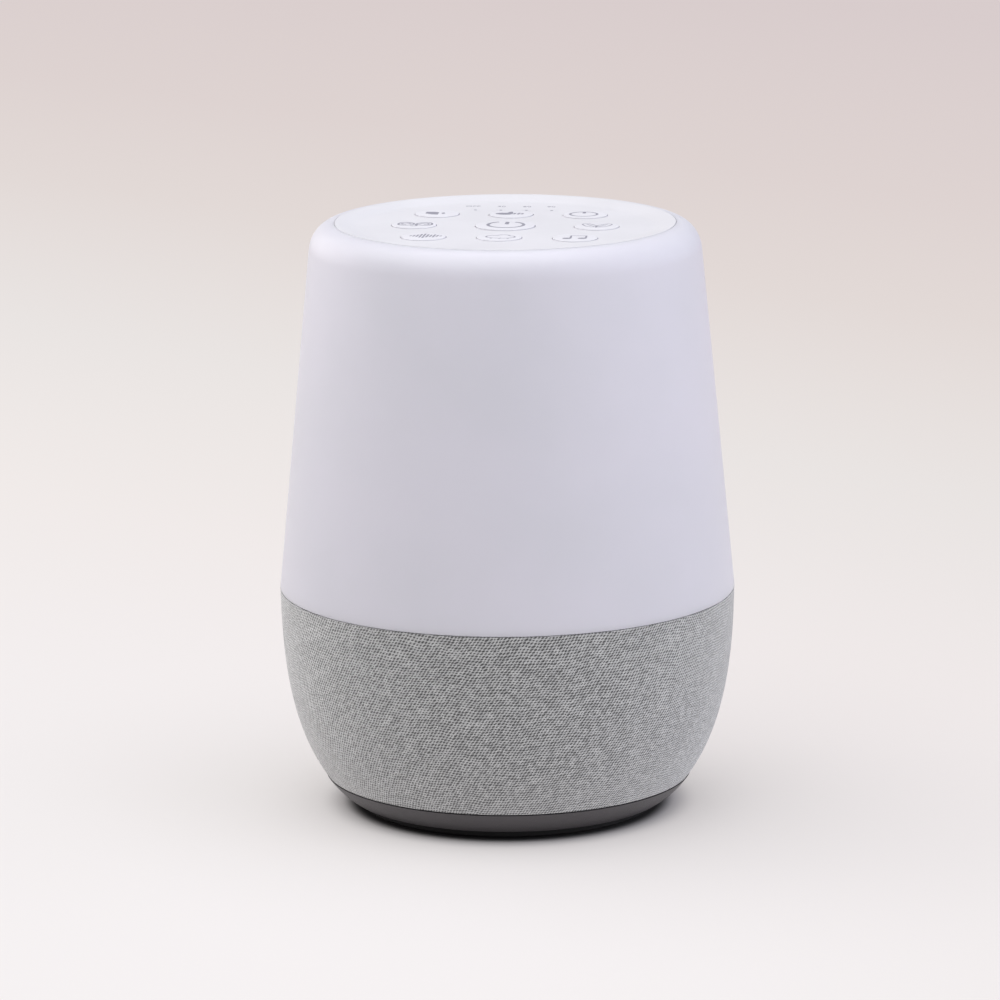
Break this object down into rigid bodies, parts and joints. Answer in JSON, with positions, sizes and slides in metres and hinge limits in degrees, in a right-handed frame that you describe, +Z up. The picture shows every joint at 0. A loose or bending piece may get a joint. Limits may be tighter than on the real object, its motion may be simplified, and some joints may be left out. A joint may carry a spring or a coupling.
{
  "type": "white noise sound machine",
  "caption": "Tabletop white noise machine: frosted night-light cone over a cloth-covered bowl with a speaker inside, round key panel with press keys on top.",
  "frame": {"origin": "centre of the foot ring's underside, on the surface that the machine stands on", "axes": "+Z up along the machine's axis, front (the panel's near edge) towards -Y, power inlet towards +Y"},
  "size_m": [0.104, 0.104, 0.135],
  "materials": {
    "frosted_shell": "frosted translucent, lavender white",
    "panel_white": "satin white",
    "key_white": "satin white with grey pictograms",
    "woven_cloth": "grey woven speaker cloth",
    "dark_plastic": "fine textured dark grey",
    "black_rubber": "matt",
    "inner_black": "moulded",
    "inner_white": "moulded reflector",
    "circuit_board": "solder mask",
    "component_black": "moulded",
    "led_lens": "clear",
    "light_pipe": "clear, milky",
    "steel": "zinc plated",
    "magnet_ferrite": "sintered",
    "copper_coil": "wound wire",
    "paper_cone": "pressed paper",
    "foam_rubber": "soft",
    "cable_grey": "flat flexible"
  },
  "bodies": {
    "housing": {"diffuser_shell": "frosted_shell", "control_panel": "panel_white", "fabric_sleeve": "woven_cloth", "mid_deck": "inner_black", "grille_basket": "inner_black", "base_pan": "dark_plastic", "foot_ring": "black_rubber", "switch_bases": "component_black", "timer_leds": "led_lens", "timer_light_pipes": "light_pipe", "light_column": "inner_white", "column_screws": "steel", "led_board": "circuit_board", "lamp_leds": "led_lens", "deck_screws": "steel", "base_screws": "steel", "speaker_frame": "steel", "speaker_gasket": "foam_rubber", "speaker_magnet": "magnet_ferrite", "speaker_top_plate": "steel", "speaker_yoke": "steel", "speaker_surround": "foam_rubber", "speaker_spider": "paper_cone", "speaker_screws": "steel", "sound_deflector": "inner_black", "deflector_screws": "steel", "main_board": "circuit_board", "board_parts": "component_black", "usb_socket": "steel", "port_bezel": "dark_plastic", "ribbon_cable": "cable_grey", "lamp_lead": "cable_grey", "speaker_lead": "cable_grey", "cable_plugs": "inner_white", "key_board": "circuit_board", "key_board_screws": "steel"},
    "key_light": {"key_light": "key_white", "plunger_light": "component_black"},
    "key_birds": {"key_birds": "key_white", "plunger_birds": "component_black"},
    "key_timer": {"key_timer": "key_white", "plunger_timer": "component_black"},
    "key_fan": {"key_fan": "key_white", "plunger_fan": "component_black"},
    "key_power": {"key_power": "key_white", "plunger_power": "component_black"},
    "key_leaf": {"key_leaf": "key_white", "plunger_leaf": "component_black"},
    "key_waves": {"key_waves": "key_white", "plunger_waves": "component_black"},
    "key_rain": {"key_rain": "key_white", "plunger_rain": "component_black"},
    "key_music": {"key_music": "key_white", "plunger_music": "component_black"},
    "cone": {"speaker_cone": "paper_cone", "voice_coil": "copper_coil", "dust_cap": "paper_cone"}
  },
  "joints": [
    {"name": "press_light", "type": "slide", "parent": "housing", "child": "key_light", "axis": [0, 0, -1], "range_m": [0, 0.00035], "stiffness_N_per_m": 3000, "springref_m": -0.0002},
    {"name": "press_birds", "type": "slide", "parent": "housing", "child": "key_birds", "axis": [0, 0, -1], "range_m": [0, 0.00035], "stiffness_N_per_m": 3000, "springref_m": -0.0002},
    {"name": "press_timer", "type": "slide", "parent": "housing", "child": "key_timer", "axis": [0, 0, -1], "range_m": [0, 0.00035], "stiffness_N_per_m": 3000, "springref_m": -0.0002},
    {"name": "press_fan", "type": "slide", "parent": "housing", "child": "key_fan", "axis": [0, 0, -1], "range_m": [0, 0.00035], "stiffness_N_per_m": 3000, "springref_m": -0.0002},
    {"name": "press_power", "type": "slide", "parent": "housing", "child": "key_power", "axis": [0, 0, -1], "range_m": [0, 0.00035], "stiffness_N_per_m": 3000, "springref_m": -0.0002},
    {"name": "press_leaf", "type": "slide", "parent": "housing", "child": "key_leaf", "axis": [0, 0, -1], "range_m": [0, 0.00035], "stiffness_N_per_m": 3000, "springref_m": -0.0002},
    {"name": "press_waves", "type": "slide", "parent": "housing", "child": "key_waves", "axis": [0, 0, -1], "range_m": [0, 0.00035], "stiffness_N_per_m": 3000, "springref_m": -0.0002},
    {"name": "press_rain", "type": "slide", "parent": "housing", "child": "key_rain", "axis": [0, 0, -1], "range_m": [0, 0.00035], "stiffness_N_per_m": 3000, "springref_m": -0.0002},
    {"name": "press_music", "type": "slide", "parent": "housing", "child": "key_music", "axis": [0, 0, -1], "range_m": [0, 0.00035], "stiffness_N_per_m": 3000, "springref_m": -0.0002},
    {"name": "cone_travel", "type": "slide", "parent": "housing", "child": "cone", "axis": [0, 0, -1], "range_m": [-0.001, 0.001], "stiffness_N_per_m": 1200, "deforming": ["speaker_surround", "speaker_spider"]}
  ]
}
